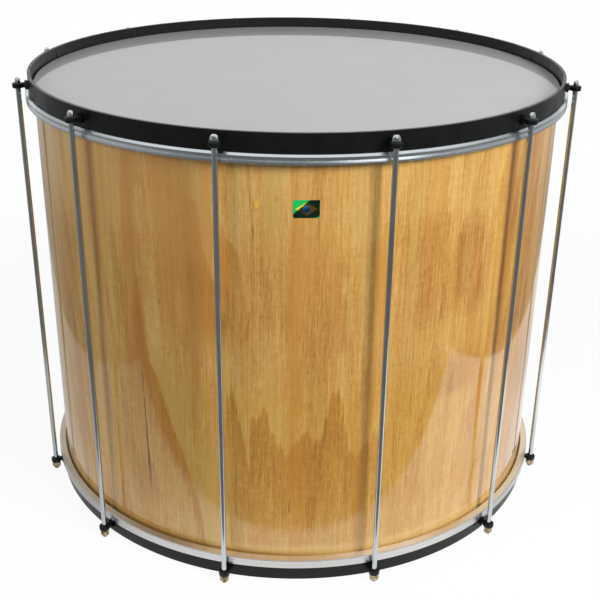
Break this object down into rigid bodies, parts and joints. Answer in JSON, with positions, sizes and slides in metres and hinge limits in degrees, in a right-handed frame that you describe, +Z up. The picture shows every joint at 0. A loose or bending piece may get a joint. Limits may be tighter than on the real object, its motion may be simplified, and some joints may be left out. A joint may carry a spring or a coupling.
{
  "type": "surdo",
  "caption": "Wide wooden bass drum with a film head at each end, flat steel counterhoops and long tension rods turned by brass nuts.",
  "frame": {"origin": "on the drum axis, in the plane of the tuning nuts' lower faces, which the drum stands on", "axes": "+Z up along the drum axis, from the lower head to the playing head; rods at 15 degrees from +X and every 30 degrees from there"},
  "size_m": [0.6864, 0.6864, 0.5542],
  "materials": {
    "veneer": "glossy lacquered veneer, vertical grain",
    "band_wood": "bare plywood",
    "film": "smooth pale grey film, glossy",
    "aluminium": "bright rolled",
    "black_paint": "satin black enamel",
    "zinc": "zinc plated, bright",
    "brass": "plain turned brass",
    "foil": "green metallic foil"
  },
  "bodies": {
    "drum": {"shell": "veneer", "label": "foil", "reinforcement_band_top": "band_wood", "head_top": "film", "flesh_ring_top": "aluminium", "reinforcement_band_bottom": "band_wood", "head_bottom": "film", "flesh_ring_bottom": "aluminium", "counterhoop_bottom": "black_paint", "ear_bottom_01": "black_paint", "ear_bottom_02": "black_paint", "ear_bottom_03": "black_paint", "ear_bottom_04": "black_paint", "ear_bottom_05": "black_paint", "ear_bottom_06": "black_paint", "ear_bottom_07": "black_paint", "ear_bottom_08": "black_paint", "ear_bottom_09": "black_paint", "ear_bottom_10": "black_paint", "ear_bottom_11": "black_paint", "ear_bottom_12": "black_paint"},
    "upper_hoop_assembly": {"counterhoop_top": "black_paint", "ear_top_01": "black_paint", "ear_top_02": "black_paint", "ear_top_03": "black_paint", "ear_top_04": "black_paint", "ear_top_05": "black_paint", "ear_top_06": "black_paint", "ear_top_07": "black_paint", "ear_top_08": "black_paint", "ear_top_09": "black_paint", "ear_top_10": "black_paint", "ear_top_11": "black_paint", "ear_top_12": "black_paint", "tension_rod_01": "zinc", "tension_rod_02": "zinc", "tension_rod_03": "zinc", "tension_rod_04": "zinc", "tension_rod_05": "zinc", "tension_rod_06": "zinc", "tension_rod_07": "zinc", "tension_rod_08": "zinc", "tension_rod_09": "zinc", "tension_rod_10": "zinc", "tension_rod_11": "zinc", "tension_rod_12": "zinc"},
    "tuning_nut_body_01": {"tuning_nut_01": "brass"},
    "tuning_nut_body_02": {"tuning_nut_02": "brass"},
    "tuning_nut_body_03": {"tuning_nut_03": "brass"},
    "tuning_nut_body_04": {"tuning_nut_04": "brass"},
    "tuning_nut_body_05": {"tuning_nut_05": "brass"},
    "tuning_nut_body_06": {"tuning_nut_06": "brass"},
    "tuning_nut_body_07": {"tuning_nut_07": "brass"},
    "tuning_nut_body_08": {"tuning_nut_08": "brass"},
    "tuning_nut_body_09": {"tuning_nut_09": "brass"},
    "tuning_nut_body_10": {"tuning_nut_10": "brass"},
    "tuning_nut_body_11": {"tuning_nut_11": "brass"},
    "tuning_nut_body_12": {"tuning_nut_12": "brass"}
  },
  "joints": [
    {"name": "upper_hoop_lift", "type": "slide", "parent": "drum", "child": "upper_hoop_assembly", "axis": [0, 0, 1], "range_m": [0, 0.006]},
    {"name": "nut_turn_01", "type": "hinge", "parent": "drum", "child": "tuning_nut_body_01", "pos_m": [0.33653, 0.09017, 0.0051], "axis": [0, 0, 1], "range_deg": [0, 2160.5]},
    {"name": "nut_turn_02", "type": "hinge", "parent": "drum", "child": "tuning_nut_body_02", "pos_m": [0.24636, 0.24636, 0.0051], "axis": [0, 0, 1], "range_deg": [0, 2160.5]},
    {"name": "nut_turn_03", "type": "hinge", "parent": "drum", "child": "tuning_nut_body_03", "pos_m": [0.09017, 0.33653, 0.0051], "axis": [0, 0, 1], "range_deg": [0, 2160.5]},
    {"name": "nut_turn_04", "type": "hinge", "parent": "drum", "child": "tuning_nut_body_04", "pos_m": [-0.09017, 0.33653, 0.0051], "axis": [0, 0, 1], "range_deg": [0, 2160.5]},
    {"name": "nut_turn_05", "type": "hinge", "parent": "drum", "child": "tuning_nut_body_05", "pos_m": [-0.24636, 0.24636, 0.0051], "axis": [0, 0, 1], "range_deg": [0, 2160.5]},
    {"name": "nut_turn_06", "type": "hinge", "parent": "drum", "child": "tuning_nut_body_06", "pos_m": [-0.33653, 0.09017, 0.0051], "axis": [0, 0, 1], "range_deg": [0, 2160.5]},
    {"name": "nut_turn_07", "type": "hinge", "parent": "drum", "child": "tuning_nut_body_07", "pos_m": [-0.33653, -0.09017, 0.0051], "axis": [0, 0, 1], "range_deg": [0, 2160.5]},
    {"name": "nut_turn_08", "type": "hinge", "parent": "drum", "child": "tuning_nut_body_08", "pos_m": [-0.24636, -0.24636, 0.0051], "axis": [0, 0, 1], "range_deg": [0, 2160.5]},
    {"name": "nut_turn_09", "type": "hinge", "parent": "drum", "child": "tuning_nut_body_09", "pos_m": [-0.09017, -0.33653, 0.0051], "axis": [0, 0, 1], "range_deg": [0, 2160.5]},
    {"name": "nut_turn_10", "type": "hinge", "parent": "drum", "child": "tuning_nut_body_10", "pos_m": [0.09017, -0.33653, 0.0051], "axis": [0, 0, 1], "range_deg": [0, 2160.5]},
    {"name": "nut_turn_11", "type": "hinge", "parent": "drum", "child": "tuning_nut_body_11", "pos_m": [0.24636, -0.24636, 0.0051], "axis": [0, 0, 1], "range_deg": [0, 2160.5]},
    {"name": "nut_turn_12", "type": "hinge", "parent": "drum", "child": "tuning_nut_body_12", "pos_m": [0.33653, -0.09017, 0.0051], "axis": [0, 0, 1], "range_deg": [0, 2160.5]}
  ],
  "couplings": [
    {"joint": "nut_turn_01", "follows": "upper_hoop_lift", "rad_per_m": 6283.2},
    {"joint": "nut_turn_02", "follows": "upper_hoop_lift", "rad_per_m": 6283.2},
    {"joint": "nut_turn_03", "follows": "upper_hoop_lift", "rad_per_m": 6283.2},
    {"joint": "nut_turn_04", "follows": "upper_hoop_lift", "rad_per_m": 6283.2},
    {"joint": "nut_turn_05", "follows": "upper_hoop_lift", "rad_per_m": 6283.2},
    {"joint": "nut_turn_06", "follows": "upper_hoop_lift", "rad_per_m": 6283.2},
    {"joint": "nut_turn_07", "follows": "upper_hoop_lift", "rad_per_m": 6283.2},
    {"joint": "nut_turn_08", "follows": "upper_hoop_lift", "rad_per_m": 6283.2},
    {"joint": "nut_turn_09", "follows": "upper_hoop_lift", "rad_per_m": 6283.2},
    {"joint": "nut_turn_10", "follows": "upper_hoop_lift", "rad_per_m": 6283.2},
    {"joint": "nut_turn_11", "follows": "upper_hoop_lift", "rad_per_m": 6283.2},
    {"joint": "nut_turn_12", "follows": "upper_hoop_lift", "rad_per_m": 6283.2}
  ]
}
